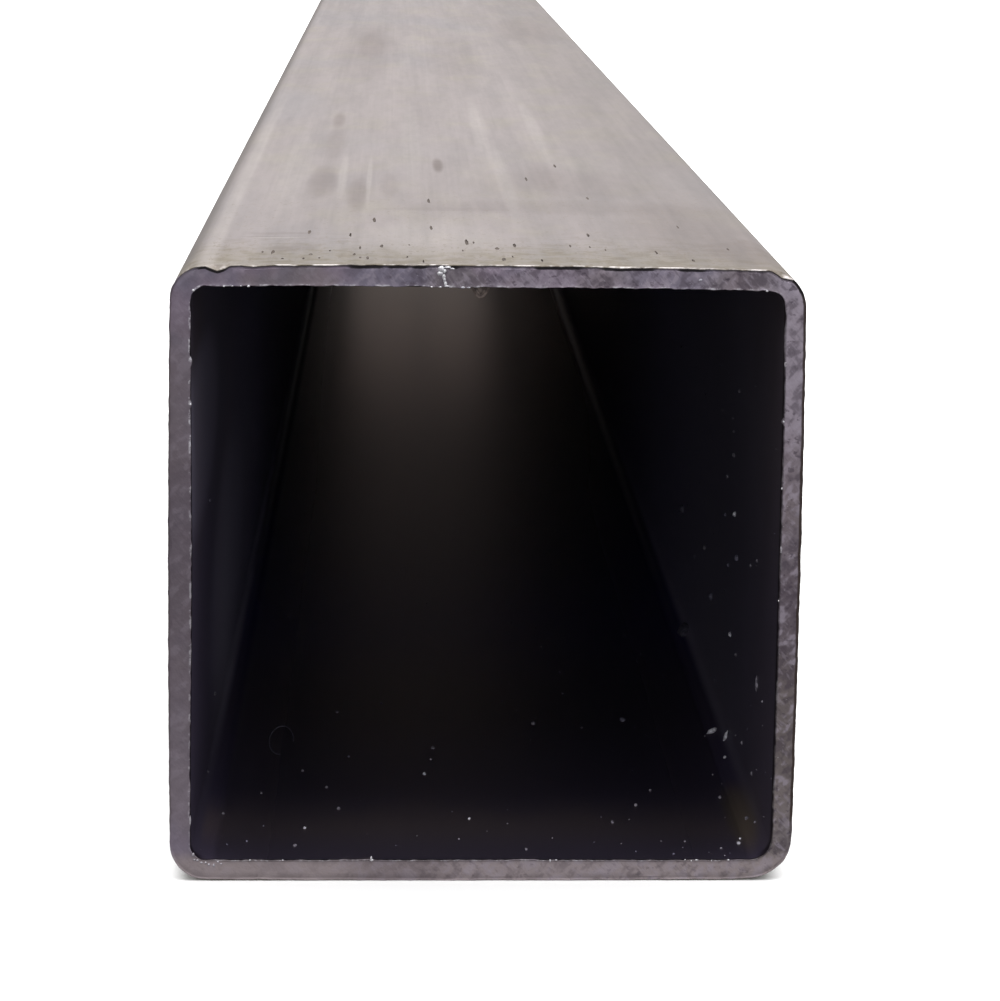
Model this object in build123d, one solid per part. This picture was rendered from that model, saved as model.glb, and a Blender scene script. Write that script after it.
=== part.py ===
from build123d import *
import os

# Square hollow section: steel strip roll-formed to a square, electric-resistance welded
# along the middle of one wall, and sawn to length.
# Millimetres. +Y runs along the tube and +Z is up. The tube lies on one flat side with the
# weld on top, and the origin is on the floor under the middle of its length.

# Section
side = 60.0  # outside width and height
wall = 2.0  # strip thickness
inside_corner_radius = 2.0  # of the bend; the outside radius follows from the wall

# Cut
length = 1000.0  # between the two sawn faces
edge_break = 0.15  # worn corner between a sawn face and the outside

# Weld bead left on the inside of the top wall
bead_width = 1.9
bead_height = 1.1
bead_offset = -0.8  # of the bead's middle from the middle of the wall, along X
bead_set_back = 0.8  # from each sawn face, where deburring has broken the bead away

# Cross-section at mid-length, drawn with X to the right and Z up
section = Plane(origin=(0, 0, side / 2), x_dir=(1, 0, 0), z_dir=(0, -1, 0))


def along_tube(profile, run):
    """Solid of one profile, the given run long, centred on mid-length."""
    return extrude(section * profile, run / 2, both=True)


def outside_form():
    """The tube as a solid bar, with the rims of its two sawn faces broken."""
    outside_corner_radius = inside_corner_radius + wall
    bar = along_tube(RectangleRounded(side, side, outside_corner_radius), length)
    across = bar.edges().group_by(Axis.Y)
    return chamfer(across[0] + across[-1], edge_break)


def bore():
    width = side - 2 * wall
    return along_tube(RectangleRounded(width, width, inside_corner_radius), length)


def weld_bead():
    """Ridge with a half-round back that hangs from the inside of the top wall and is rooted in it."""
    inside_face = side / 2 - wall
    root = inside_face + wall / 2
    lowest = inside_face - bead_height
    back_radius = bead_width / 2
    back_centre = lowest + back_radius
    left = bead_offset - back_radius
    right = bead_offset + back_radius
    rooted = Polyline((left, back_centre), (left, root), (right, root), (right, back_centre))
    back = ThreePointArc((left, back_centre), (bead_offset, lowest), (right, back_centre))
    return along_tube(make_face(rooted + back), length - 2 * bead_set_back)


def square_tube():
    return outside_form() - bore() + weld_bead()


os.makedirs("parts", exist_ok=True)
export_step(square_tube(), "parts/square_tube.step")
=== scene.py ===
import bpy
import bmesh
import math
import random
from mathutils import Matrix, Vector, noise


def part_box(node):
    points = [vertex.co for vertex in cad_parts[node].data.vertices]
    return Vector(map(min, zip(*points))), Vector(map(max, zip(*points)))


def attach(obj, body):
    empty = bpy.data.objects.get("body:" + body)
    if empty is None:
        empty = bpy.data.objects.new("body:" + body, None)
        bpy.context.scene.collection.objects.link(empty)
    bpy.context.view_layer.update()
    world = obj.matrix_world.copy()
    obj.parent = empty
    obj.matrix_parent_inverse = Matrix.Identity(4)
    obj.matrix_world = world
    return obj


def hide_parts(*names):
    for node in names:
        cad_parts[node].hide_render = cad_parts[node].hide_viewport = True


# A metre of square steel hollow section, bare from the mill and sawn square at both ends.
# Shapes are worked in millimetres and brought to Blender's metres at the end.
# Places on the tube are given across it from its middle, and in from the near cut.

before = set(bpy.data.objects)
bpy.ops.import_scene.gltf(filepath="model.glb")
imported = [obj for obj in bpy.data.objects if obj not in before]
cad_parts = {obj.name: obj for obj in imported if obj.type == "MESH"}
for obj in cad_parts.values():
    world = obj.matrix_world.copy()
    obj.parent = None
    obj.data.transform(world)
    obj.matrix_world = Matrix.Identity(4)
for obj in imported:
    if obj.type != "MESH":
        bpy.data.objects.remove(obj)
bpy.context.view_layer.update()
mm = 0.001
low, high = (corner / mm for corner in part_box("square_tube"))
side = high.x - low.x
middle = side / 2

section = {
    "wall": 2.0,
    "cornerRadii": (3.7, 4.15, 3.55, 3.35),  # outside, clockwise from the top right of the near cut
    "crowns": (0.31, 0.14, 0.13, 0.16),  # swelling of the top, right, bottom and left walls
    "crownReach": 25.8,  # either side of a wall's middle
    "leans": (0.02, 0.63),  # of the right and left walls, outward at the foot
    "leanShare": 0.86,  # of each lean, at the height where the tube is widest
    "shoulder": 0.18,  # how far the top wall rises at its left end
    "thickened": (0.15, 0.05, 0.12, 0.27),  # on the inside of the top, right, bottom and left walls
    "rubbed": ((27.0, 0.2, 2.8, 0.14), (-29.6, 2.6, 1.4, 0.08)),  # corners: across, up, half width, depth
    "rubReach": 1.5,  # how far into the wall the rubbing goes
    "stretch": (1.003, 1.0025),  # of the whole section, across and up
    "cutSetBack": 0.2,  # of the sawn faces, so that their burrs end where the tube ends
}
nearCut = low.y + section["cutSetBack"]
farCut = high.y - section["cutSetBack"]


def cornerRadius(x, z):
    topRight, bottomRight, bottomLeft, topLeft = section["cornerRadii"]
    if z > middle:
        return topRight if x > 0 else topLeft
    return bottomRight if x > 0 else bottomLeft


def pastCorner(x, z):  # how far a point lies past the start of its corner's curve, across and up
    radius = cornerRadius(x, z)
    return abs(x) - middle + radius, abs(z - middle) - middle + radius


def underSurface(x, z):  # how deep a point of the section lies under the tube's outer surface
    pastX, pastZ = pastCorner(x, z)
    return cornerRadius(x, z) - math.hypot(max(pastX, 0), max(pastZ, 0)) - min(max(pastX, pastZ), 0)


def outward(x, z):  # direction from a point of the section to the nearest outside
    pastX, pastZ = pastCorner(x, z)
    if pastX > 0 and pastZ > 0:
        out = Vector((pastX, 0, pastZ)).normalized()
    else:
        out = Vector((1, 0, 0)) if pastX > pastZ else Vector((0, 0, 1))
    return Vector((math.copysign(out.x, x), 0, math.copysign(out.z, z - middle)))


def thicken(x, z):  # how far the inside of a wall swells at a point
    top, right, bottom, left = section["thickened"]
    out = outward(x, z)
    if out.x and out.z:  # the corners keep their thickness
        return Vector((0, 0, 0))
    if out.z:
        place, swelling = x, top if out.z > 0 else bottom
    else:
        place, swelling = z - middle, right if x > 0 else left
    span = max(0, math.cos(place / section["crownReach"] * math.pi / 2)) ** 1.5
    inside = min(1, max(0, underSurface(x, z) / section["wall"]))
    return out * swelling * span * inside


def crown(place):  # the share of a wall's swelling so far from its middle
    return max(0, 1 - (place / section["crownReach"]) ** 2)


def intoWall(place):  # 0 near the tube's middle, and 1 at the two walls on either side of it
    return min(1, max(0, (abs(place) - middle / 2) / (middle / 3)))


def settle(x, z):  # where a point of the true section comes to on this tube, which is a little out of shape
    swelling = thicken(x, z)
    rubbedBy = 0
    for across, up, half, depth in section["rubbed"]:
        away = math.hypot(x - across, z - up) / half
        rubbedBy += depth * max(0, 1 - away ** 2) * max(0, 1 - underSurface(x, z) / section["rubReach"])
    x, z = x - swelling.x, z - swelling.z + rubbedBy
    top, right, bottom, left = section["crowns"]
    leanRight, leanLeft = section["leans"]
    foot = 1 - z / side
    if x > 0:
        newX = x + right * crown(z - middle) * intoWall(x) + leanRight * foot
    else:
        newX = x - left * crown(z - middle) * intoWall(x) - leanLeft * foot
    if z > middle:
        raised = section["shoulder"] * max(0, -x / middle)
        newZ = z + (top * crown(x) + raised) * intoWall(z - middle)
    else:
        newZ = z - bottom * crown(x) * intoWall(z - middle)
    share = section["leanShare"]
    widest = (side + right + left) / 2 + share * (leanRight + leanLeft) / 2
    shift = ((right + leanRight * share) - (left + leanLeft * share)) / 2
    scale = middle / widest  # so that the tube is as wide as its box again
    stretchX, stretchZ = section["stretch"]
    return (newX - shift) * scale * stretchX, (newZ + bottom) * scale * stretchZ


def fromCut(y):
    return min(y - nearCut, farCut - y)


def grain(place, size):  # smooth noise of about -1 to 1
    return noise.noise(place / size)


def finishMesh(bm, name, materials, smoothAngle=None):
    bmesh.ops.scale(bm, verts=bm.verts, vec=(mm, mm, mm))
    mesh = bpy.data.meshes.new(name)
    bm.to_mesh(mesh)
    bm.free()
    for material in materials:
        mesh.materials.append(material)
    if smoothAngle is not None:
        mesh.shade_smooth()
        mesh.set_sharp_from_angle(angle=math.radians(smoothAngle))
    piece = bpy.data.objects.new(name, mesh)
    bpy.context.scene.collection.objects.link(piece)
    return piece


def fixToTube(piece):
    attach(piece, "root")
    return piece


def only(geom, kind):  # what an operator made of one kind
    return [g for g in geom if isinstance(g, kind)]


def screenColour(red, green, blue):  # a colour as a screen shows it, 0 to 255, as linear light
    return tuple((c / 255) ** 2.2 for c in (red, green, blue)) + (1,)


class Wire:  # one output socket; Python's operators on it add Math nodes
    def __init__(self, finish, socket):
        self.finish = finish
        self.socket = socket

    def __add__(self, other):
        return self.finish.maths("ADD", self, other)

    def __sub__(self, other):
        return self.finish.maths("SUBTRACT", self, other)

    def __rsub__(self, other):
        return self.finish.maths("SUBTRACT", other, self)

    def __mul__(self, other):
        return self.finish.maths("MULTIPLY", self, other)

    def __truediv__(self, other):
        return self.finish.maths("DIVIDE", self, other)

    __radd__ = __add__
    __rmul__ = __mul__


class Finish:  # a material with a Principled shader, and the few ways used here of adding to it
    def __init__(self, name, paints=()):
        self.paints = {paint: screenColour(*colour) for paint, colour in dict(paints).items()}
        self.material = bpy.data.materials.new(name)
        self.material.use_nodes = True
        self.tree = self.material.node_tree
        self.shader = self.tree.nodes["Principled BSDF"]
        self.place = self.add("ShaderNodeTexCoord", output="Object")
        split = self.add("ShaderNodeSeparateXYZ", (), {"Vector": self.place})
        self.x, self.y, self.z = (Wire(self, socket) / mm for socket in split.socket.node.outputs)
        self.along = self.y - nearCut
        self.fromCut = self.lower(self.along, farCut - self.y)

    def add(self, kind, settings=(), sockets=(), output=0):
        node = self.tree.nodes.new(kind)
        for name, value in dict(settings).items():
            setattr(node, name, value)
        for name, value in dict(sockets).items():
            self.plug(node.inputs[name], value)
        return Wire(self, node.outputs[output])

    def plug(self, socket, value):
        if isinstance(value, Wire):
            self.tree.links.new(value.socket, socket)
        else:
            socket.default_value = value

    def set(self, **values):  # sockets of the shader, with spaces left out of their names
        for socket in self.shader.inputs:
            if socket.name.replace(" ", "") in values:
                self.plug(socket, values[socket.name.replace(" ", "")])

    def attribute(self, name):  # a number kept on the mesh
        return self.add("ShaderNodeAttribute", {"attribute_name": name}, (), "Fac")

    def maths(self, operation, *values):
        return self.add("ShaderNodeMath", {"operation": operation}, dict(enumerate(values)))

    def lower(self, one, other):
        return self.maths("MINIMUM", one, other)

    def fade(self, value, start, full):  # 0 at start and 1 at full, eased between
        settings = {"interpolation_type": "SMOOTHSTEP"}
        return self.add("ShaderNodeMapRange", settings, {"Value": value, "From Min": start, "From Max": full})

    def reach(self, start, full):  # fades with the way in from a cut
        return self.fade(self.fromCut, start, full)

    def near(self, value, place, start, full):  # fades in towards a place, from start to full away from it
        return self.fade(self.maths("ABSOLUTE", value - place), start, full)

    def oval(self, spans, start=1.0, full=0.0):  # a soft patch; spans are two of (value, middle, half size)
        u, v = ((value - centre) / half for value, centre, half in spans)
        return self.fade(u * u + v * v, start, full)

    def spread(self, sizes, shift, turn):  # places measured in grains of those sizes in mm
        turned = self.add("ShaderNodeMapping", (), {"Vector": self.place, "Rotation": (0, turn, 0)})
        return self.add("ShaderNodeMapping", (), {
            "Vector": turned,
            "Location": (shift, shift * 0.7, shift * 1.3),
            "Scale": tuple(1 / (size * mm) for size in sizes),
        })

    def grain(self, sizes, detail, rough, shift, turn=0.0):  # noise of 0 to 1
        return self.add("ShaderNodeTexNoise", (), {
            "Vector": self.spread(sizes, shift, turn), "Scale": 1.0, "Detail": detail, "Roughness": rough,
        })

    def grains(self, settings):
        return {name: self.grain(*values) for name, values in settings.items()}

    def mix(self, amount, colour, other):
        settings = {"data_type": "RGBA", "blend_type": "MIX", "clamp_factor": True}
        return self.add("ShaderNodeMix", settings, {0: amount, 6: colour, 7: other}, 2)

    def over(self, colour, paint, amount):  # lays one of the finish's paints over a colour
        return self.mix(amount, colour, self.paints[paint])

    def shade(self, colour, strength):  # a colour times a number
        return self.add("ShaderNodeVectorMath", {"operation": "SCALE"}, {0: colour, "Scale": strength})

    def bump(self, height, depth):  # a height of 1 stands for that many mm
        return self.add("ShaderNodeBump", (), {"Height": height, "Strength": 1.0, "Distance": depth * mm})


millLook = {
    "paints": {
        "base": (122, 114, 113),
        "warm": (125, 118, 110),
        "cool": (116, 111, 113),
        "dirt": (106, 98, 84),
        "grime": (88, 81, 77),
        "stain": (94, 84, 73),
        "spot": (93, 83, 80),
        "pale": (141, 134, 131),
        "glint": (212, 205, 204),
    },
    # noise: sizes across, along and up, detail, roughness, and a shift that sets it apart from the others
    "grains": {
        "bands": ((4, 400, 4), 3, 0.6, 0),
        "broad": ((26, 90, 26), 2, 0.5, 3),
        "lines": ((0.6, 90, 0.6), 3, 0.65, 5),
        "clouds": ((8, 20, 8), 3, 0.6, 9),
        "smears": ((2.6, 2.4, 2.6), 3, 0.65, 13),
        "strokes": ((1.5, 0.8, 1.5), 3, 0.65, 19),
        "flecks": ((0.5, 1.6, 0.5), 3, 0.7, 11),
        "cloth": ((1.1, 7, 1.1), 4, 0.65, 17),
        "drifts": ((3, 42, 3), 2, 0.5, 29),
        "lipBreaks": ((2.2, 2.2, 2.2), 3, 0.7, 14),
    },
    # paint laid on by a noise, on the whole tube and then near its ends: the noise's start and full, strength
    "casts": (("warm", "clouds", 0.45, 0.75, 0.7), ("cool", "broad", 0.45, 0.7, 0.6)),
    "endStains": (("stain", "smears", 0.5, 0.62, 0.55), ("stain", "strokes", 0.56, 0.66, 0.55)),
    "endReach": (34, 2),  # in from a cut: where the marks of the ends start, and where they are full
    "dirtReach": (28, 10),
    "dirtRagged": 14,
    # a painted highlight along the start of the left corner, where it curves up to the light: its place,
    # start and full; in from a cut; strength
    "rubbedStrip": ((-26.1, 1.2, 0.3), (260, 110), 0.5),
    # painted shade outside it, on the curve of the left corner: across, in from a cut, strength
    "leftGrime": ((-26.9, -28.1), (2, 9), 0.6),
    # and fainter painted shade on the right half: across, at both its sides, strength
    "rightGrime": ((6, 22), (29.4, 27.4), 0.3),
    # soft marks on the top wall: across, in from the near cut, half width, half length, strength
    "patches": {
        "spot": (
            (-16.9, 76, 2.1, 24, 0.5), (-12.7, 62, 1.5, 24, 0.55), (-9.3, 71, 1.3, 18, 0.3),
            (-16.6, 162, 1.2, 16, 0.6), (-16.4, 128, 1.7, 34, 0.35), (-13.4, 348, 3.4, 62, 0.4),
            (-14, 330, 8, 110, 0.25), (19, 400, 9, 60, 0.3), (-3.4, 96, 0.85, 11, 1), (9, 84, 2.4, 24, 0.25),
            (12, 75, 13, 22, 0.25), (10, 50, 22, 9, 0.25), (-21.6, 22.2, 3.2, 0.4, 0.6),
            (-20, 25, 4.4, 1.5, 0.35), (-18.6, 12.5, 3, 3, 0.4), (-4, 47, 9, 2.2, 0.2), (26, 12, 5, 14, 0.5),
            (22, 30, 9, 30, 0.4), (2, 300, 6, 90, 0.2),
        ),
        "pale": (
            (2.9, 150, 1.4, 60, 0.4), (4.2, 80, 1.1, 60, 0.35), (-5, 20, 9, 20, 0.4),
            (-14.7, 84, 0.7, 32, 0.55), (-11.6, 80, 0.4, 34, 0.5), (-20.5, 90, 2.4, 60, 0.3),
            (-20, 21.3, 3.6, 0.7, 0.5), (10.5, 150, 1.2, 60, 0.35), (-6.5, 130, 1.6, 70, 0.3),
        ),
    },
    "darkest": 0.78,
    # how much each noise lightens the steel: its start and full, share
    "tones": {
        "bands": (0.3, 0.7, 0.09),
        "lines": (0.3, 0.7, 0.07),
        "cloth": (0.3, 0.7, 0.09),
        "flecks": (0.3, 0.7, 0.08),
        "drifts": (0.35, 0.65, 0.1),
    },
    "lipDepth": (0.4, 0.15),  # of the painted glint along the lip, in from a cut
    "metallic": 0.4,
    "roughness": 0.46,
    "relief": 0.03,
}


def paintEnds(steel, grains, colour):  # dirt and stains near the cuts
    nearEnd = steel.reach(*millLook["endReach"])
    dirt = steel.fade(steel.fromCut + grains["clouds"] * millLook["dirtRagged"], *millLook["dirtReach"])
    colour = steel.over(colour, "dirt", dirt * (0.45 + steel.fade(grains["smears"], 0.4, 0.6) * 0.5))
    for paint, name, start, full, strength in millLook["endStains"]:
        colour = steel.over(colour, paint, steel.fade(grains[name], start, full) * nearEnd * strength)
    return colour


def paintSides(steel, onTop, colour):  # painted highlight and shade along the left corner, and painted shade on the right half
    # painted highlight on the upper curve of the left corner
    across, along, strength = millLook["rubbedStrip"]
    strip = steel.near(steel.x, *across) * steel.reach(*along)
    colour = steel.over(colour, "pale", strip * onTop * strength)
    # painted shade where the left corner turns down from the light
    across, along, strength = millLook["leftGrime"]
    grime = steel.fade(steel.x, *across) * steel.reach(*along)
    colour = steel.over(colour, "grime", grime * strength)
    # painted shade darkening the right half of the top wall
    inner, outer, strength = millLook["rightGrime"]
    return steel.over(colour, "grime", steel.fade(steel.x, *inner) * steel.fade(steel.x, *outer) * strength)


def makeMillFinish():
    steel = Finish("bareMillFinish", millLook["paints"])
    grains = steel.grains(millLook["grains"])
    onTop = steel.fade(steel.z, side - 1.6, side - 0.6)
    colour = steel.paints["base"]
    for paint, name, start, full, strength in millLook["casts"]:
        colour = steel.over(colour, paint, steel.fade(grains[name], start, full) * strength)
    colour = paintEnds(steel, grains, colour)
    colour = paintSides(steel, onTop, colour)
    for paint, patches in millLook["patches"].items():
        for across, along, halfWidth, halfLength, strength in patches:
            oval = steel.oval(((steel.x, across, halfWidth), (steel.along, along, halfLength)))
            colour = steel.over(colour, paint, oval * onTop * (0.55 + grains["smears"] * 0.9) * strength)
    flecked = steel.reach(*millLook["endReach"]) * 0.75
    flecked = flecked + steel.reach(90, 50) * steel.reach(15, 40) * 0.3
    colour = steel.over(colour, "stain", steel.fade(grains["flecks"], 0.56, 0.66) * flecked)
    tone = millLook["darkest"]
    for name, (start, full, share) in millLook["tones"].items():
        tone = tone + steel.fade(grains[name], start, full) * share
    colour = steel.shade(colour, tone)
    # a painted glint where the burr's lip catches the light
    lip = steel.reach(*millLook["lipDepth"]) * steel.fade(grains["lipBreaks"], 0.42, 0.6)
    colour = steel.over(colour, "glint", lip * 0.8)
    relief = grains["lines"] * 0.4 + grains["flecks"] * 0.3 + grains["clouds"] * 0.6
    steel.set(
        BaseColor=colour,
        Metallic=millLook["metallic"],
        Roughness=millLook["roughness"] + grains["bands"] * 0.1 + grains["flecks"] * 0.08,
        Normal=steel.bump(relief, millLook["relief"]),
    )
    return steel.material


# parts of the cut, as the fades that bound them: x or z, start, full and, where it is ragged, by how much
sideWalls = (("z", 3, 8), ("z", 57, 50))
bottomWall = (("z", 3.2, 1.6),)

cutLook = {
    "paints": {
        "purple": (134, 121, 137),
        "blue": (123, 116, 133),
        "warm": (130, 120, 119),
        "dark": (74, 64, 76),
        "light": (168, 158, 172),
        "white": (214, 212, 220),
        "bottom": (164, 151, 153),
        "leftWall": (117, 107, 114),
        "rightWall": (131, 119, 124),
        "lowRight": (122, 113, 108),
        "rim": (58, 46, 42),
        "shadow": (26, 19, 25),
    },
    # noise, as for the mill finish; the last number turns it about the tube's axis
    "grains": {
        "patches": ((4.5, 4.5, 4.5), 2, 0.5, 2),
        "warmth": ((7, 7, 7), 2, 0.5, 15),
        "mottle": ((1.5, 1.5, 0.9), 2, 0.5, 4, 0.8),
        "strokes": ((0.45, 1, 1.3), 2, 0.55, 6, 0.7),
        "specks": ((0.22, 0.22, 0.22), 2, 0.6, 8),
        "gouges": ((0.7, 0.7, 0.55), 2, 0.5, 18),
        "ragged": ((1.6, 1.6, 1.6), 3, 0.7, 9),
        "edgeBreaks": ((1.0, 1.0, 1.0), 3, 0.7, 10),
    },
    # painted light and shade on the parts of the cut, as the light falls on them (the side walls darker
    # towards mid-height, the bottom wall lighter), and a warmer lower right wall: paint, strength, part
    "casts": (
        ("leftWall", 0.8, (("x", -24, -28), *sideWalls)),
        ("light", 0.2, (("x", -24, -28), ("z", 20, 9))),
        ("rightWall", 0.7, (("x", 24, 28), *sideWalls)),
        ("light", 0.7, (("x", 26, 28), ("z", 40, 46))),
        ("dark", 0.3, (("x", -26, -28), ("z", 24, 36, 14), ("z", 50, 42, 10))),
        ("dark", 0.62, (("x", 26, 28), ("z", 3, 8), ("z", 16, 22, 14), ("z", 48, 32, 14))),
        ("dark", 0.15, (("x", -14, -22),)),
        ("light", 0.24, (("x", -4, 6), ("x", 26, 18))),
        ("lowRight", 0.6, (("x", 24, 27), ("z", 34, 22, 14))),
        # painted light: the bottom wall lighter, as if lit from the floor
        ("bottom", 0.85, bottomWall),
        ("dark", 0.3, (("x", -15, -10), ("x", -1, -6), *bottomWall)),
    ),
    "roughSide": (("x", -14, 14, 16),),  # the right half of the top wall shows the saw marks most
    # saw marks: paint, noise, its start and full, strength, and what full roughness adds to the strength
    "marks": (
        ("dark", "mottle", 0.5, 0.36, 0.12, 0.4),
        ("light", "mottle", 0.52, 0.66, 0.15, 0.46),
        ("light", "strokes", 0.54, 0.68, 0.06, 0.4),
        ("dark", "strokes", 0.44, 0.33, 0.05, 0.34),
        ("dark", "gouges", 0.38, 0.3, 0, 0.6),
        ("white", "specks", 0.68, 0.8, 0, 0.5),
    ),
    # the dark rim down the outside of the side walls
    "rimDepth": (0.31, 0.19),
    "rimSpan": (("z", 3, 7), ("z", 59.2, 57.5)),
    # the shadow under the outside burr, and where it is thickest: across, half width
    "shadowDepth": 0.24,
    "shadowSpan": (("x", -27.2, -26.6), ("z", 56.4, 57.4)),
    "shadowRuns": (
        (-25.5, 1.3), (-11.2, 1.5), (-8.2, 0.9), (-6.2, 0.7),
        (-3.3, 0.7), (6.7, 2.1), (13.2, 2.4), (19.1, 1.2),
    ),
    "shadowCorner": (("x", 26.4, 27.0),),
    "brightEdge": (1.74, 1.88),  # how deep in the wall the inside burr catches light
    "plainEdge": (1.78, 1.92),  # and how deep the painted shade on the inside edge goes where there is no burr
    "metallic": 0.35,
    "roughness": 0.48,
    "relief": 0.05,
}


def within(steel, part, patches=0):  # 1 in a part of the cut, eased off at its bounds
    amount = 1
    for way, start, full, *ragged in part:
        place = getattr(steel, way)
        if ragged:
            place = place + patches * ragged[0]
        amount = steel.fade(place, start, full) * amount
    return amount


def paintWalls(steel, grains):
    colour = steel.over(steel.paints["purple"], "blue", steel.fade(grains["patches"], 0.4, 0.6))
    colour = steel.over(colour, "warm", steel.fade(grains["warmth"], 0.45, 0.62) * 0.5)
    # painted light and shade, part by part
    for paint, strength, part in cutLook["casts"]:
        colour = steel.over(colour, paint, within(steel, part, grains["patches"]) * strength)
    return colour


def paintSawMarks(steel, grains, colour):
    onBottom = within(steel, bottomWall)
    rough = within(steel, cutLook["roughSide"], grains["patches"]) * (1 - onBottom * 0.5)
    stroked = rough * (1 - within(steel, sideWalls) * 0.45)
    for paint, name, start, full, least, added in cutLook["marks"]:
        strength = least + (stroked if name == "strokes" else rough) * added
        colour = steel.over(colour, paint, steel.fade(grains[name], start, full) * strength)
    return colour


def shadeEdges(steel, grains, colour):
    depth = steel.attribute("depth")
    ragged = grains["ragged"]
    onLeft = steel.fade(steel.x, -25, -27)
    onRight = steel.fade(steel.x, 26, 28)
    onBottom = within(steel, bottomWall)
    rim = steel.fade(depth + ragged * 0.14 - onRight * 0.1, *cutLook["rimDepth"])
    rim = rim * within(steel, cutLook["rimSpan"]) * (0.4 + onRight * 0.55)
    colour = steel.over(colour, "rim", rim)
    runs = 0
    for across, half in cutLook["shadowRuns"]:
        runs = runs + steel.near(steel.x, across, half + 0.4, half - 0.3)
    runs = steel.lower(runs, 1.0)
    corner = within(steel, cutLook["shadowCorner"])
    thickness = cutLook["shadowDepth"] + runs * 0.14 + corner * 0.16
    shadow = steel.fade(depth + ragged * (0.16 + corner * 0.3) - thickness, 0.1, 0.02)
    shadow = shadow * within(steel, cutLook["shadowSpan"]) * (0.5 + steel.lower(runs + corner, 1.0) * 0.45)
    colour = steel.over(colour, "shadow", shadow)
    # painted shade along the inside edge of the bottom and right walls
    plain = steel.lower(onBottom + onRight * steel.fade(steel.z, 58, 54), 1.0)
    colour = steel.over(colour, "shadow", steel.fade(depth, *cutLook["plainEdge"]) * plain * 0.75)
    bright = steel.fade(depth, *cutLook["brightEdge"]) * steel.fade(grains["edgeBreaks"], 0.48, 0.64)
    share = 0.6 - onBottom * 0.45 + onLeft * (steel.fade(steel.z, 36, 46) * 0.45 - 0.15) - onRight * 0.5
    return steel.over(colour, "white", bright * share)


def makeSawnFinish():
    steel = Finish("sawnFace", cutLook["paints"])
    grains = steel.grains(cutLook["grains"])
    colour = paintWalls(steel, grains)
    colour = paintSawMarks(steel, grains, colour)
    relief = grains["mottle"] + grains["specks"] * 0.4 + grains["strokes"] * 0.6
    steel.set(
        BaseColor=shadeEdges(steel, grains, colour),
        Metallic=cutLook["metallic"],
        Roughness=cutLook["roughness"] + grains["mottle"] * 0.2,
        Normal=steel.bump(relief, cutLook["relief"]),
    )
    return steel.material


boreLook = {
    "paints": {
        "scale": (107, 103, 130),
        "brown": (114, 108, 128),
        "deepSoot": (56, 52, 108),
        "soot": (66, 61, 82),  # for the first few centimetres, and as painted shade low on the side walls near the mouth
        "nearFloor": (94, 84, 88),
        "nearSides": (86, 79, 86),
        "sides": (112, 108, 124),
        "deepSides": (172, 168, 194),
        "lipShadow": (34, 28, 32),
        "dust": (150, 142, 148),
        "oil": (104, 94, 66),
    },
    # noise, as for the mill finish; the grooves are fine drawing lines along the bore
    "grains": {
        "mottle": ((6, 30, 6), 3, 0.6, 3),
        "drifts": ((9, 14, 9), 3, 0.6, 12),
        "dust": ((0.5, 0.8, 0.5), 3, 0.7, 7),
        "grooves": ((0.09, 400, 0.09), 0, 0.5, 21),
    },
    "grooveDepth": 0.006,
    # how far in from a cut each thing starts, and where it is full; for soot also how ragged that is
    "soots": (("deepSoot", 20, (440, 190)), ("soot", 10, (120, 60))),
    "nearFloorReach": (32, 16),
    "sidesReach": (10, 55),
    "deepSidesReach": (30, 150),
    "lowSootReach": (70, 25),
    "dustReach": (60, 0),
    # paler scale on the left side: in from the near cut, up, half length, half height, strength
    "paleLeft": ((70, 17, 42, 16, 0.4), (16, 41, 34, 10, 0.35)),
    "oilPatch": (26.4, 14.0, 1.9, 14.0, 0.45),  # across, in, half width, half length, strength
    "sideWalls": (27.0, 27.8),  # from the middle
    "sheen": (1.0, 0.87, 0.73),  # how much light the scale reflects at a low angle
    "metallic": 0.75,
    # roughness of the floor and roof of the bore, of its sides and of its corners
    "roughAbove": 0.14,
    "roughAside": 0.42,
    "roughCorner": 0.8,
    "coat": 0.7,
    "coatRoughness": 0.4,
}


def paintBoreSides(steel, grains):
    reach = steel.fromCut + grains["drifts"] * 20
    colour = steel.over(steel.paints["nearSides"], "sides", steel.fade(reach, *boreLook["sidesReach"]))
    deep = steel.reach(*boreLook["deepSidesReach"]) * steel.fade(steel.z, 56, 36)
    colour = steel.over(colour, "deepSides", deep)
    for along, up, halfLength, halfHeight, strength in boreLook["paleLeft"]:
        oval = steel.oval(((steel.along, along, halfLength), (steel.z, up, halfHeight)), 1.1, 0.4)
        colour = steel.over(colour, "deepSides", oval * steel.fade(steel.x, -25, -27) * strength)
    # painted shade on the lower side walls near the mouth
    low = (0.1 + steel.fade(steel.z, 46, 24) * 0.62) * steel.reach(*boreLook["lowSootReach"])
    return steel.over(colour, "soot", low * (1 - steel.fade(steel.x, 0, 9) * 0.4))


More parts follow.
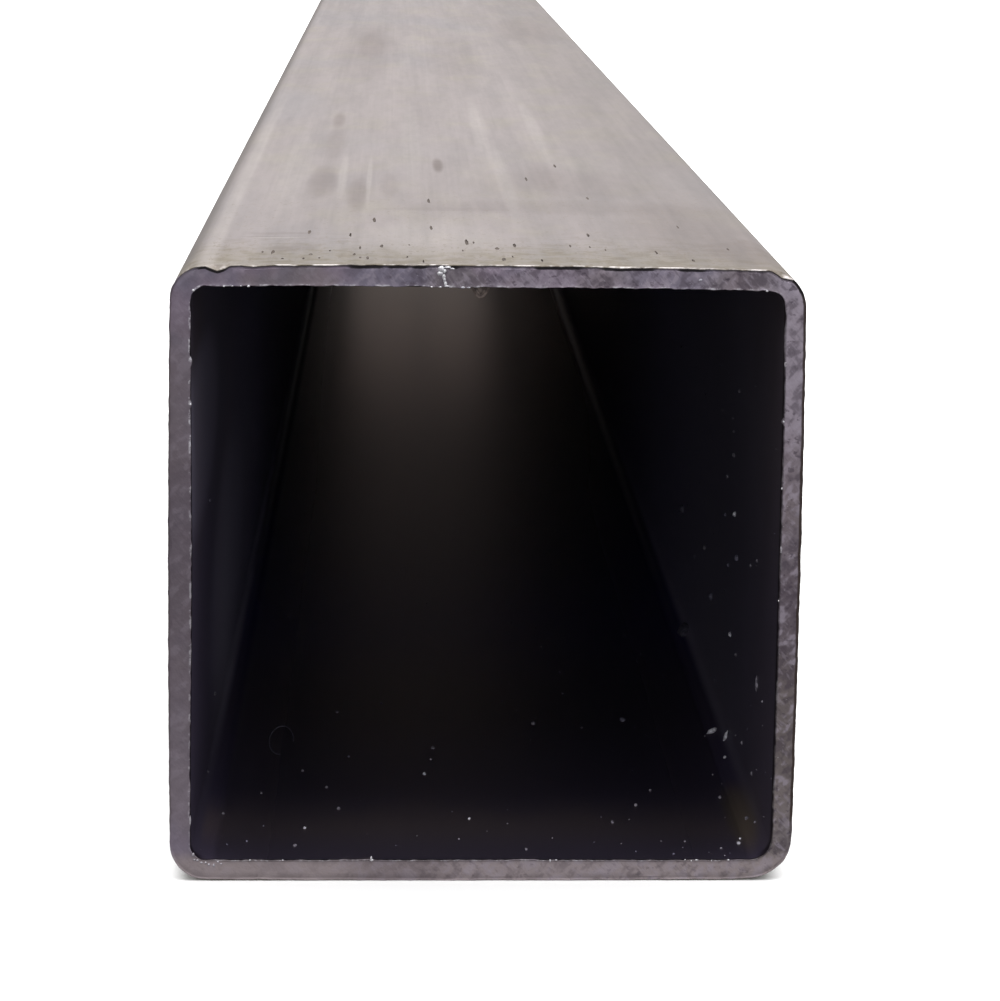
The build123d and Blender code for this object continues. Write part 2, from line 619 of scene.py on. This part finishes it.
def paintBore(steel, grains, across):
    mottle = grains["mottle"]
    onFloor = steel.fade(steel.z, 8, 4)
    colour = steel.over(steel.paints["scale"], "brown", steel.fade(mottle, 0.4, 0.65))
    for paint, ragged, reach in boreLook["soots"]:
        colour = steel.over(colour, paint, steel.fade(steel.fromCut + mottle * ragged, *reach))
    nearMouth = steel.fade(steel.fromCut + grains["drifts"] * 16, *boreLook["nearFloorReach"])
    colour = steel.over(colour, "nearFloor", nearMouth * (0.2 + steel.reach(2, 13) * 0.6))
    colour = steel.mix(steel.fade(across, *boreLook["sideWalls"]), colour, paintBoreSides(steel, grains))
    dusty = steel.fade(grains["dust"], 0.62, 0.8) * steel.reach(*boreLook["dustReach"])
    colour = steel.over(colour, "dust", dusty * 0.5)
    place, along, halfWidth, halfLength, strength = boreLook["oilPatch"]
    oval = steel.oval(((steel.x, place, halfWidth), (steel.along, along, halfLength)))
    colour = steel.over(colour, "oil", oval * onFloor * strength)
    lip = steel.reach(1.6, 0.5) * steel.fade(across, 26.5, 27.5)
    lip = steel.lower(lip + steel.reach(0.4, 0.2) * onFloor, 1.0)
    return steel.over(colour, "lipShadow", lip * 0.8)


def boreRoughness(steel, corner, onRight, across):
    above, aside, inCorner = (boreLook[name] for name in ("roughAbove", "roughAside", "roughCorner"))
    # the right corner far in is smoother and catches more light
    smoother = onRight * steel.fade(across, 20, 23) * steel.reach(140, 260)
    rough = above + steel.reach(330, 170) * 0.08 - steel.reach(300, 420) * 0.02
    rough = rough + steel.fade(across, 19, 26.6) * (aside - above) - smoother * 0.17
    return rough + corner * (inCorner - aside) * (1 - onRight * 0.3)


def makeBoreFinish():
    steel = Finish("darkBore", boreLook["paints"])
    grains = steel.grains(boreLook["grains"])
    across = steel.maths("ABSOLUTE", steel.x)
    onRight = steel.fade(steel.x, 0, 9)
    corner = steel.fade(across, 25.4, 26.4) * steel.fade(across, 28.2, 27.9)
    duller = steel.reach(330, 200) * steel.reach(50, 100)
    steel.set(
        BaseColor=paintBore(steel, grains, across),
        Metallic=boreLook["metallic"] * (1 - duller * 0.38) + steel.reach(280, 390) * 0.22,
        Roughness=boreRoughness(steel, corner, onRight, across) + grains["mottle"] * 0.04,
        IOR=1.0,
        SpecularTint=(*boreLook["sheen"], 1.0),
        CoatWeight=boreLook["coat"] * (1 - corner * 0.6),
        CoatRoughness=boreLook["coatRoughness"],
        Normal=steel.bump(grains["grooves"], boreLook["grooveDepth"]),
    )
    return steel.material


def makePlainFinish(name, dark, light, grainSize, metallic, roughness):
    steel = Finish(name)
    mottle = steel.grain((grainSize,) * 3, detail=3, rough=0.6, shift=1)
    colour = steel.mix(steel.fade(mottle, 0.35, 0.65), screenColour(*dark), screenColour(*light))
    steel.set(BaseColor=colour, Metallic=metallic, Roughness=roughness, Normal=steel.bump(mottle, 0.02))
    return steel.material


millFinish = makeMillFinish()
sawnFinish = makeSawnFinish()
boreFinish = makeBoreFinish()
pitFinish = makePlainFinish("rustyPit", (46, 38, 34), (88, 77, 69), 0.3, 0.1, 0.8)
burrFinish = makePlainFinish("brightBurr", (190, 186, 194), (248, 248, 252), 0.25, 0.6, 0.3)
softBurrFinish = makePlainFinish("softBurr", (140, 134, 142), (206, 202, 210), 0.25, 0.4, 0.5)
dustFinish = makePlainFinish("paleDust", (170, 168, 180), (236, 236, 246), 0.4, 0.1, 0.6)
dimDustFinish = makePlainFinish("dullDust", (84, 80, 90), (150, 146, 158), 0.4, 0.1, 0.7)
faintDustFinish = makePlainFinish("faintDust", (80, 78, 94), (116, 114, 132), 0.4, 0.1, 0.8)
beadFinish = makePlainFinish("scarfedBead", (98, 86, 82), (146, 132, 126), 0.35, 0.3, 0.45)
print("materials made")


tube = {
    "cornerSteps": 18,
    "flatSteps": 236,
    "ringsFromCut": (0.4, 1.2, 6, 40, 200),
    "cutReach": 0.3,  # how far in from a cut its own faces go
    # the wall's edge at a cut, as points (in from the outside, in from the cut)
    "outsideBurr": ((0.0, 0.08), (0.03, -0.02), (0.09, -0.03), (0.14, 0.09), (0.28, 0.09)),
    "cutAcross": (0.36, 0.8, 1.2, 1.55, 1.8),
    "insideEdge": ((1.91, -0.03), (1.97, 0.03)),
    "topLip": 0.11,  # how deep the mill finish goes over the edge, on the top wall and on the others
    "otherLip": 0.01,
}


def wallOutline():  # the wall cut open along its length, as a closed loop of (under the surface, y)
    wall = section["wall"]
    rings = tube["ringsFromCut"]
    end = [(0.0, d) for d in reversed(rings)]
    end += tube["outsideBurr"]
    end += [(r, 0.0) for r in tube["cutAcross"]]
    end += tube["insideEdge"]
    end += [(wall, d) for d in rings]
    near = [(r, nearCut + d) for r, d in end]
    far = [(r, farCut - d) for r, d in reversed(end)]
    return near + far


def sweepRoundSection(bm, outline):  # along each flat, then round each corner
    radii = section["cornerRadii"]
    start = [bm.verts.new((radii[3] - middle, y, side - r)) for r, y in outline]
    edges = [bm.edges.new(pair) for pair in zip(start, start[1:] + start[:1])]
    for quarter in range(4):
        turn = Matrix.Rotation(quarter * math.pi / 2, 3, "Y")
        radius = radii[quarter]
        flat = side - radius - radii[quarter - 1]
        made = bmesh.ops.extrude_edge_only(bm, edges=edges)["geom"]
        verts = only(made, bmesh.types.BMVert)
        fresh = set(verts)
        edges = [e for e in only(made, bmesh.types.BMEdge) if fresh.issuperset(e.verts)]
        bmesh.ops.translate(bm, verts=verts, vec=turn @ Vector((flat, 0, 0)))
        centre = Vector((0, 0, middle)) + turn @ Vector((middle - radius, 0, middle - radius))
        made = bmesh.ops.spin(
            bm, geom=verts + edges, cent=centre, axis=(0, 1, 0), angle=math.pi / 2,
            steps=tube["cornerSteps"], use_merge=False, use_duplicate=False,
        )["geom_last"]
        edges = only(made, bmesh.types.BMEdge)
    bmesh.ops.remove_doubles(bm, verts=bm.verts, dist=0.001)
    long = [e for e in bm.edges if e.calc_length() > middle]
    across = [e for e in long if abs(e.verts[0].co.y - e.verts[1].co.y) < 0.01]
    bmesh.ops.subdivide_edges(bm, edges=across, cuts=tube["flatSteps"] - 1, use_grid_fill=True)
    bmesh.ops.recalc_face_normals(bm, faces=bm.faces)


def markDepth(bm):  # kept for the sawn face's finish, which follows the wall round
    depth = bm.verts.layers.float.new("depth")
    for v in bm.verts:
        v[depth] = underSurface(v.co.x, v.co.z)


def paintTube(bm):  # 0 mill finish, 1 sawn face, 2 bore
    for face in bm.faces:
        centre = face.calc_center_median()
        r = underSurface(centre.x, centre.z)
        lip = tube["otherLip"] if centre.z < side - 1 else tube["topLip"]
        if r > section["wall"] - 0.02:
            face.material_index = 2
        elif r > lip and fromCut(centre.y) < tube["cutReach"]:
            face.material_index = 1


wear = {
    # how far the burr's edge, its side, the cut and the inside edge wander: reach, coarse grain, share of
    # the fine grain, fine grain
    "lipWander": (0.05, 2.4, 0.6, 0.7),
    "sideWander": (0.05, 1.3, 0.6, 0.5),
    "faceWander": (0.02, 1.8, 0.7, 0.5),
    "edgeNibble": (0.06, 1.1, 0.9, 0.45),
    "lipReach": 0.32,  # how deep in the wall the burr and its groove go
    "lipWorn": 0.04,  # back from the cut, away from the top wall
    "groove": 0.12,  # how deep in the wall the groove under the burr starts
    "grooveFilled": 0.09,  # away from the top wall
    "insideEdge": 1.85,
    # where the outside burr is bent down over the near cut: across, half width, drop
    "bentLips": ((-25.5, 1.15, 0.42), (-22.0, 1.6, 0.10), (27.6, 1.05, 0.46), (12.0, 2.0, 0.08)),
    "bentReach": 1.5,  # how deep in the wall the bending goes
    # lumps that stand from the inside edge into the bore: across, up, half width, reach
    "nubs": (
        (28, 45.5, 0.35, 0.26), (-28, 46.9, 0.4, 0.16), (-28, 50.9, 0.5, 0.14), (28, 53, 2.4, 0.12),
        (4, 2, 1.6, 0.08), (-12, 2, 3, 0.06), (-2.4, 58, 0.7, 0.14), (26.4, 56.6, 0.8, 0.12),
    ),
}


def wander(place, name):
    reach, coarse, share, fine = wear[name]
    return reach * (grain(place, coarse) + share * grain(place, fine))


def wearTube(bm):
    for v in bm.verts:
        if fromCut(v.co.y) > tube["cutReach"]:
            continue
        inward = 1 if v.co.y < 0 else -1
        r = underSurface(v.co.x, v.co.z)
        out = outward(v.co.x, v.co.z)
        onTop = max(0, out.z)
        if r < wear["lipReach"]:
            v.co.y += inward * (wander(v.co, "lipWander") + wear["lipWorn"] * (1 - onTop))
            if r > wear["groove"]:  # which closes away from the top wall
                v.co.y -= inward * wear["grooveFilled"] * (1 - onTop ** 2)
            v.co -= out * wander(v.co, "sideWander")
        else:
            v.co.y += inward * wander(v.co, "faceWander")
        if v.co.z > middle and inward > 0:
            for across, half, drop in wear["bentLips"]:
                bent = max(0, 1 - abs(v.co.x - across) / half) ** 0.8
                v.co.z -= drop * bent * min(1, max(0, wear["bentReach"] - r))
        if r > wear["insideEdge"]:
            v.co += out * wander(v.co, "edgeNibble")
            for across, up, half, reach in wear["nubs"]:
                away = math.hypot(v.co.x - across, v.co.z - up)
                if inward > 0 and away < half:
                    v.co -= out * reach * (1 - (away / half) ** 2)


def settleSection(bm):
    for v in bm.verts:
        v.co.x, v.co.z = settle(v.co.x, v.co.z)


def makeTube():
    bm = bmesh.new()
    sweepRoundSection(bm, wallOutline())
    markDepth(bm)
    paintTube(bm)
    wearTube(bm)
    settleSection(bm)
    return finishMesh(bm, "millFinishTube", (millFinish, sawnFinish, boreFinish, pitFinish), 40)


tubePiece = fixToTube(makeTube())
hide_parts("square_tube")
print("tube swept:", len(tubePiece.data.polygons), "faces")


pits = {
    # on the top wall: across, in from the near cut, half width, half length, depth
    "places": (
        (-5.2, 55.2, 0.22, 2.8, 0.12), (-11.1, 36.6, 0.2, 3, 0.14), (-5.2, 29.5, 0.2, 2.5, 0.14),
        (-13.4, 23.3, 0.19, 2.1, 0.14), (-17.6, 26, 0.26, 2.3, 0.06), (-20.7, 9.7, 0.22, 2.1, 0.16),
        (-21.7, 9.7, 0.14, 1.1, 0.08), (-12.3, 12.7, 0.15, 1.7, 0.12), (-11.5, 4.9, 0.17, 1.7, 0.12),
        (-10.2, 14.2, 0.2, 1.7, 0.15), (-1.8, 17.6, 0.26, 3.2, 0.2), (-1.1, 17.4, 0.14, 1.3, 0.12),
        (1.1, 12.9, 0.31, 1.3, 0.1), (1.5, 4.4, 0.26, 1.7, 0.12), (2.9, 15.4, 0.22, 2.3, 0.16),
        (5.1, 3.9, 0.15, 1.7, 0.12), (10.8, 96.6, 0.19, 3, 0.1), (6.6, 80, 0.2, 2.7, 0.08),
        (8.4, 15.3, 0.14, 1.3, 0.1), (10.7, 24.7, 0.19, 1.9, 0.16), (10.3, 14.7, 0.12, 1.1, 0.1),
        (16.6, 11.4, 0.17, 1.9, 0.14), (19.7, 5.7, 0.2, 1.3, 0.12), (24, 15.3, 0.15, 1.3, 0.08),
        (-17, 7.7, 0.29, 0.9, 0.06), (-15.2, 10.5, 0.12, 0.9, 0.08), (-7.5, 15.1, 0.1, 0.9, 0.08),
        (2.4, 6.5, 0.12, 1.1, 0.1), (11.7, 12.6, 0.1, 0.9, 0.08), (-2.3, 11, 0.1, 1.1, 0.08),
        (12.7, 59.7, 0.17, 1.9, 0.06), (20.6, 33.3, 0.14, 1.7, 0.06), (-12.8, 7.5, 0.18, 1.2, 0.1),
        (-17.6, 4.6, 0.16, 1, 0.08), (-16.1, 4.9, 0.14, 0.8, 0.08), (-12.2, 5.2, 0.16, 0.9, 0.08),
        (-19.6, 4.6, 0.18, 0.8, 0.08), (-7.7, 5.6, 0.14, 1, 0.08), (-6.2, 2.4, 0.12, 1.6, 0.12),
    ),
    "size": 0.78,
    "lift": 0.4,  # of each lump's middle over the wall, as a share of the pit's depth
    "raggedness": 0.5,
}


def roughen(verts, raggedness, waves, seed):  # makes a ball a lump, with its own shape for each seed
    for v in verts:
        v.co *= 1 + raggedness * noise.noise(v.co * waves + Vector((seed, 0, 0)))


def cutPits(target):  # each is a small lump taken out of the top wall
    bm = bmesh.new()
    for number, (across, along, halfWidth, halfLength, depth) in enumerate(pits["places"]):
        x, z = settle(across, side)
        made = bmesh.ops.create_icosphere(bm, subdivisions=2, radius=1)["verts"]
        roughen(made, pits["raggedness"], 1.7, number * 7.3)
        size = pits["size"]
        bmesh.ops.scale(bm, verts=made, vec=(halfWidth * size, halfLength * size, depth * (1 + pits["lift"])))
        bmesh.ops.translate(bm, verts=made, vec=(x, nearCut + along, z + depth * pits["lift"]))
    cutter = finishMesh(bm, "pitCutter", (pitFinish,))
    modifier = target.modifiers.new("pits", "BOOLEAN")
    modifier.operation = "DIFFERENCE"
    modifier.solver = "EXACT"
    modifier.object = cutter
    modifier.material_mode = "TRANSFER"
    graph = bpy.context.evaluated_depsgraph_get()
    cut = bpy.data.meshes.new_from_object(target.evaluated_get(graph), depsgraph=graph)
    target.modifiers.clear()
    old = target.data
    target.data = cut
    cut.name = target.name
    bpy.data.meshes.remove(old)
    bpy.data.objects.remove(cutter)


cutPits(tubePiece)
print("pits cut:", len(tubePiece.data.polygons), "faces,", [m.name for m in tubePiece.data.materials])


bead = {
    "across": -0.8,
    "setBack": 0.8,
    # half of its cross-section, as (out from its middle, below the inside of the wall)
    "profile": ((1.0, -0.4), (0.95, 0.0), (0.74, 0.36), (0.56, 0.66), (0.40, 0.9), (0.2, 1.04), (0.0, 1.08)),
    "runs": 240,
    # steps in from the rim of each end: how far in, how deep
    "dishedEnd": ((0.07, 0.10), (0.14, 0.02), (0.06, 0.14), (0.12, 0.02), (0.06, 0.2)),
    "wander": ((0.08, 9), (0.10, 14)),  # across and up: how far, its grain
    "brightReach": 3,  # how far in from a cut it is free of soot
}


def makeBead():
    bm = bmesh.new()
    roof = side - section["wall"]
    start = nearCut + bead["setBack"]
    length = farCut - nearCut - 2 * bead["setBack"]
    half = bead["profile"]
    outline = [(out, down) for out, down in half] + [(-out, down) for out, down in reversed(half[:-1])]
    verts = [bm.verts.new((bead["across"] + out, start, roof - down)) for out, down in outline]
    cap = bm.faces.new(verts)
    made = bmesh.ops.extrude_face_region(bm, geom=[cap])["geom"]
    bmesh.ops.translate(bm, verts=only(made, bmesh.types.BMVert), vec=(0, length, 0))
    runs = [e for e in bm.edges if e.calc_length() > middle]
    bmesh.ops.subdivide_edges(bm, edges=runs, cuts=bead["runs"] - 1, use_grid_fill=True)
    bmesh.ops.recalc_face_normals(bm, faces=bm.faces)
    for end in (min, max):  # rounded off and dished
        edge = end(v.co.y for v in bm.verts)
        inward = 1 if end is min else -1
        cap = [f for f in bm.faces if all(abs(v.co.y - edge) < 0.01 for v in f.verts)]
        for thickness, depth in bead["dishedEnd"]:
            bmesh.ops.inset_region(bm, faces=cap, thickness=thickness, use_even_offset=False)
            for v in {v for f in cap for v in f.verts}:
                v.co.y += inward * depth
    (reachX, grainX), (reachZ, grainZ) = bead["wander"]
    for v in bm.verts:
        if v.co.z < roof:
            v.co.x += reachX * grain(v.co, grainX)
            v.co.z += reachZ * grain(v.co + Vector((40, 0, 0)), grainZ)
    for face in bm.faces:
        face.material_index = int(fromCut(face.calc_center_median().y) > bead["brightReach"])
    settleSection(bm)
    return finishMesh(bm, "insideWeldBead", (beadFinish, boreFinish), 50)


fixToTube(makeBead())
print("weld bead made")


def addLump(bm, place, halves, seed, finish=0, detail=2, tilt=0):  # a rough pebble
    made = bmesh.ops.create_icosphere(bm, subdivisions=detail, radius=1)["verts"]
    roughen(made, 0.35, 1.6, seed * 5.1)
    bmesh.ops.scale(bm, verts=made, vec=halves)
    bmesh.ops.rotate(bm, verts=made, cent=(0, 0, 0), matrix=Matrix.Rotation(math.radians(tilt), 3, "Y"))
    bmesh.ops.translate(bm, verts=made, vec=place)
    for face in {f for v in made for f in v.link_faces}:
        face.material_index = finish


sawBurrs = {
    # crumbs left on the near cut: across, up, half width, half height, how far they stand out
    "crumbs": (
        (-4.52, 59.62, 0.34, 0.3, 0.25), (-4.6, 59.24, 0.3, 0.24, 0.2), (-4.22, 59.44, 0.2, 0.22, 0.18),
        (-3.95, 59.78, 0.36, 0.1, 0.15), (-3.5, 59.66, 0.26, 0.08, 0.12), (-4.3, 58.96, 0.17, 0.26, 0.1),
        (-4.22, 58.64, 0.15, 0.24, 0.09), (-4.12, 58.34, 0.15, 0.24, 0.09), (-4, 58.12, 0.26, 0.1, 0.14),
        (-4.6, 58.04, 0.18, 0.07, 0.12), (-3.6, 58.04, 0.16, 0.06, 0.1), (-5.4, 58.04, 0.16, 0.05, 0.1),
        (-22.6, 58.02, 0.15, 0.1, 0.1), (-27.75, 57.62, 0.14, 0.12, 0.1), (-24.9, 58.02, 0.1, 0.07, 0.08),
        (-24.1, 58.04, 0.12, 0.06, 0.08), (-23.3, 58.04, 0.1, 0.05, 0.08), (26.2, 58, 0.14, 0.09, 0.1),
        (-22.19, 1.98, 0.13, 0.09, 0.1), (-19.02, 1.98, 0.1, 0.07, 0.1), (-10.36, 1.98, 0.2, 0.11, 0.14),
        (-10.42, 2.16, 0.12, 0.22, 0.16), (7, 1.98, 0.12, 0.07, 0.1), (20.73, 1.98, 0.14, 0.07, 0.1),
        (23.84, 1.98, 0.12, 0.08, 0.1), (-28.02, 46.9, 0.1, 0.12, 0.1), (28.02, 39, 0.08, 0.12, 0.1),
        (27.98, 28, 0.08, 0.1, 0.1), (28.02, 45.5, 0.1, 0.12, 0.14), (19.6, 2, 0.07, 0.06, 0.08),
        (20.2, 1.9, 0.07, 0.08, 0.08), (22.2, 1.9, 0.08, 0.08, 0.08), (6.4, 1.9, 0.08, 0.16, 0.1),
    ),
    "dullCrumbs": (
        (-2.47, 58.02, 0.2, 0.09, 0.1), (-1.91, 58.02, 0.16, 0.07, 0.08), (19.9, 58.9, 0.14, 0.12, 0.05),
    ),
    "softCrumbs": (
        (-27.7, 2.5, 0.13, 0.2, 0.08), (-27.3, 1.95, 0.12, 0.12, 0.08), (-26.9, 1.7, 0.12, 0.12, 0.08),
        (-26.5, 1.7, 0.1, 0.14, 0.08), (-25.7, 1.45, 0.12, 0.16, 0.08), (-25, 1.6, 0.1, 0.08, 0.08),
        (-27.6, 2, 0.12, 0.1, 0.08), (-26.2, 1.5, 0.12, 0.12, 0.08), (-25.3, 1.8, 0.12, 0.08, 0.08),
        (-28, 6, 0.08, 0.5, 0.05), (28.1, 51, 0.12, 0.3, 0.05), (28.1, 33, 0.1, 0.4, 0.05),
    ),
}


def makeSawBurrs():
    bm = bmesh.new()
    for finish, name in enumerate(("crumbs", "dullCrumbs", "softCrumbs")):
        for number, (across, up, halfWidth, halfHeight, reach) in enumerate(sawBurrs[name]):
            addLump(bm, (across, nearCut, up), (halfWidth, reach, halfHeight), number, finish)
    settleSection(bm)
    return finishMesh(bm, "sawBurrs", (burrFinish, dustFinish, softBurrFinish), 60)


swarf = {
    # crumbs that lie in the bore near the near cut: across, in from the cut, up, half width
    "bright": (
        (28, 40, 28.1, 0.3), (28, 41.5, 14.3, 0.3), (25.4, 5.1, 2, 0.2), (25.7, 6.6, 2, 0.14),
        (-5, 29.1, 2, 0.22), (27, 34.5, 2.3, 0.22), (-17.2, 10.2, 2, 0.17), (-0.6, 13.3, 2, 0.16),
    ),
    "dull": (
        (28, 38.5, 41.9, 0.2), (28, 42.4, 34.2, 0.28), (28, 48.6, 30.6, 0.2), (28, 72.2, 17.3, 0.32),
        (28, 27.3, 6, 0.2), (28, 17.6, 5.5, 0.2), (28, 35.6, 13.5, 0.22), (28, 24.1, 26, 0.18),
        (28, 18.4, 27.8, 0.18), (27, 12.4, 2.3, 0.26), (27.5, 9.6, 2.8, 0.16), (25.1, 20.7, 2, 0.22),
        (16.1, 18, 2, 0.22), (18, 23.3, 2, 0.16), (13.3, 12.1, 2, 0.22), (6.8, 49.1, 2, 0.28),
        (-4, 39.1, 2, 0.24), (-18, 4.5, 2, 0.2), (-15.3, 24.3, 2, 0.2), (-28, 41.4, 7.5, 0.26),
        (-25.6, 15, 2, 0.18), (-13.9, 16.8, 2, 0.22), (4.2, 3.2, 2, 0.16), (23.5, 3.5, 2, 0.14),
        (-18, 30.4, 2, 0.18), (-14.8, 53.9, 2, 0.22), (-27.9, 26.9, 2.9, 0.16), (20.1, 5.8, 2, 0.12),
    ),
    "faint": (
        (28, 101.3, 15.9, 0.55), (28, 62.8, 13.5, 0.45), (17, 50.6, 2, 0.34), (28, 37, 23.9, 0.36),
        (28, 84, 13.6, 0.24), (28, 50, 26, 0.24), (28, 45.5, 21.2, 0.26), (-28, 29.2, 31.7, 0.2),
    ),
    # and longer chips: across, in from the cut, up, half sizes, tilt to the right, finish
    "chips": (
        (27.6, 40, 3, (0.19, 0.5, 0.8), 14, 0), (26.6, 45, 2.3, (0.6, 0.4, 0.28), -28, 0),
        (27.9, 15.3, 15.6, (0.14, 0.4, 0.95), 0, 1), (27.5, 89.2, 2.9, (0.95, 2.4, 0.7), -30, 2),
    ),
    "scattered": 110,
    "reach": 110,  # how far in they lie
    "grit": (0.06, 0.10),  # half width of the least, and what the largest have over it
    "height": (2, 44),  # how high the lowest lies on the right side, and what the highest has over it
}

fibre = {  # a curled hair of steel
    "across": -20.6,
    "along": 42.0,
    "halfWidth": 1.25,
    "halfLength": 5.4,
    "thickness": 0.035,
    "turn": 235,
    "steps": 18,
    "drift": (0, 0.05, 0.02),  # how each step moves it on
}


def addFibre(bm):
    floor = section["wall"]
    thickness = fibre["thickness"]
    centre = Vector((fibre["across"], nearCut + fibre["along"], floor + thickness))
    end = bmesh.ops.create_circle(bm, cap_ends=True, radius=thickness, segments=6)["verts"]
    bmesh.ops.rotate(bm, verts=end, cent=(0, 0, 0), matrix=Matrix.Rotation(math.radians(90), 3, "X"))
    bmesh.ops.translate(bm, verts=end, vec=centre + Vector((fibre["halfWidth"], 0, 0)))
    cap = [f for f in bm.faces if all(v in end for v in f.verts)]
    before = set(bm.verts) - set(end)
    bmesh.ops.spin(
        bm, geom=cap, cent=centre, axis=(0, 0, 1), dvec=fibre["drift"], angle=math.radians(fibre["turn"]),
        steps=fibre["steps"], use_merge=False, use_duplicate=False,
    )
    hair = [v for v in bm.verts if v not in before]
    for v in hair:
        v.co.y = centre.y + (v.co.y - centre.y) * fibre["halfLength"] / fibre["halfWidth"]
    for face in {f for v in hair for f in v.link_faces}:
        face.material_index = 2


def makeSwarf():
    bm = bmesh.new()
    chance = random.Random(7)
    floor = section["wall"]
    inside = middle - floor
    for finish, name in enumerate(("bright", "dull", "faint")):
        for number, (across, along, up, half) in enumerate(swarf[name]):
            addLump(bm, (across, nearCut + along, up), (half, half * 1.7, half * 1.1), number, finish, 1)
    for number, (across, along, up, halves, tilt, finish) in enumerate(swarf["chips"]):
        addLump(bm, (across, nearCut + along, up), halves, number, finish, 2, tilt)
    least, larger = swarf["grit"]
    lowest, higher = swarf["height"]
    for number in range(swarf["scattered"]):
        along = nearCut + 1 + swarf["reach"] * chance.random() ** 1.6
        half = least + larger * chance.random() ** 2
        if number % 3:
            place = (inside * (1 - 1.9 * chance.random() ** 1.4), along, floor)
        else:
            place = (inside, along, floor + lowest + higher * chance.random() ** 1.5)
        addLump(bm, place, (half, half * 1.7, half), number, 1 + number % 2, 1)
    addFibre(bm)
    bmesh.ops.recalc_face_normals(bm, faces=bm.faces)
    settleSection(bm)
    return finishMesh(bm, "boreSwarf", (dustFinish, dimDustFinish, faintDustFinish), 60)


fixToTube(makeSawBurrs())
fixToTube(makeSwarf())
print("burrs and swarf made")


studio = {
    "floorSize": 16.0,
    "floorColour": (250, 250, 250),
    # strength of the light from straight above, from level and from below
    "skyStrength": 1.25,
    "levelStrength": 0.5,
    "belowStrength": 0.3,
    # the upward share of a direction, over which the light changes
    "belowSpan": (-0.5, 0.0),
    "skySpan": (0.0, 0.8),
    "keyPower": 140.0,
    "keySize": 4.0,
    "keyPlace": (0.5, 0.4, 2.6),
}


def makeFloor():
    bm = bmesh.new()
    bmesh.ops.create_grid(bm, x_segments=8, y_segments=8, size=studio["floorSize"] / 2 / mm)
    bmesh.ops.translate(bm, verts=bm.verts, vec=(0, 0, low.z - 0.02))
    floorFinish = Finish("paleFloor")
    floorFinish.set(BaseColor=screenColour(*studio["floorColour"]), Roughness=0.9, SpecularIORLevel=0.1)
    floor = finishMesh(bm, "floor", (floorFinish.material,))
    floor.visible_diffuse = False
    floor.visible_glossy = False


def makeLights():
    world = bpy.data.worlds.new("studioWorld")
    world.use_nodes = True
    tree = world.node_tree
    directions = tree.nodes.new("ShaderNodeTexCoord")
    split = tree.nodes.new("ShaderNodeSeparateXYZ")
    tree.links.new(directions.outputs["Generated"], split.inputs[0])
    upper = tree.nodes.new("ShaderNodeMapRange")
    lower = tree.nodes.new("ShaderNodeMapRange")
    for node, ends, strengths in (
        (lower, studio["belowSpan"], (studio["belowStrength"], studio["levelStrength"])),
        (upper, studio["skySpan"], (0.0, studio["skyStrength"] - studio["levelStrength"])),
    ):
        node.interpolation_type = "SMOOTHSTEP"
        for name, value in zip(("From Min", "From Max", "To Min", "To Max"), ends + strengths):
            node.inputs[name].default_value = value
        tree.links.new(split.outputs["Z"], node.inputs["Value"])
    total = tree.nodes.new("ShaderNodeMath")
    tree.links.new(lower.outputs[0], total.inputs[0])
    tree.links.new(upper.outputs[0], total.inputs[1])
    tree.links.new(total.outputs[0], tree.nodes["Background"].inputs["Strength"])
    tree.nodes["Background"].inputs["Color"].default_value = (1, 1, 1, 1)
    bpy.context.scene.world = world
    key = bpy.data.lights.new("overheadSoftbox", "AREA")
    key.energy = studio["keyPower"]
    key.size = studio["keySize"]
    lamp = bpy.data.objects.new("overheadSoftbox", key)
    lamp.location = studio["keyPlace"]
    bpy.context.scene.collection.objects.link(lamp)


view = {
    "place": (-8.34, -795.21, 97.40),  # mm
    "turn": 1.897,  # degrees to the right of the tube's axis
    "tilt": 11.466,  # degrees below level
    "roll": 0.557,
    "lens": 115.08,
    "sensor": 36.0,
}


def makeCamera():
    camera = bpy.data.cameras.new("camera")
    camera.sensor_fit = "VERTICAL"
    camera.sensor_height = view["sensor"]
    camera.lens = view["lens"]
    camera.clip_start = 0.01
    camera.clip_end = 50
    stand = bpy.data.objects.new("camera", camera)
    aim = (
        Matrix.Rotation(math.radians(-view["turn"]), 4, "Z")
        @ Matrix.Rotation(math.radians(90 - view["tilt"]), 4, "X")
        @ Matrix.Rotation(math.radians(view["roll"]), 4, "Z")
    )
    stand.matrix_world = Matrix.Translation(Vector(view["place"]) * mm) @ aim
    bpy.context.scene.collection.objects.link(stand)
    bpy.context.scene.camera = stand


makeFloor()
makeLights()
makeCamera()
bpy.context.scene.view_settings.view_transform = "Standard"
print("studio set up")
